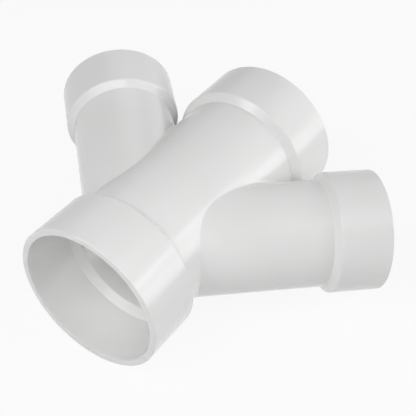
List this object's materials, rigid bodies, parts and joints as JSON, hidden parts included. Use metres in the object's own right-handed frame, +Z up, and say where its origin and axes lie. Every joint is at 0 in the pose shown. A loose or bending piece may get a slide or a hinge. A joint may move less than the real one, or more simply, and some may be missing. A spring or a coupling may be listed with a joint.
{
  "type": "reducing double wye",
  "caption": "Moulded drain fitting with a straight run, a large pipe socket at each end, and smaller socketed branches that leave it at a slant on opposite sides.",
  "frame": {"origin": "on the floor, below the middle of the run's length", "axes": "-X out of the outlet socket, along the run; +Z up, square to the plane of the axes; +Y to the side of one branch"},
  "size_m": [0.2512, 0.3334, 0.1256],
  "materials": {
    "moulded_vinyl": "smooth moulded rigid vinyl, off-white, satin"
  },
  "bodies": {
    "root": {"double_wye": "moulded_vinyl"}
  },
  "joints": []
}
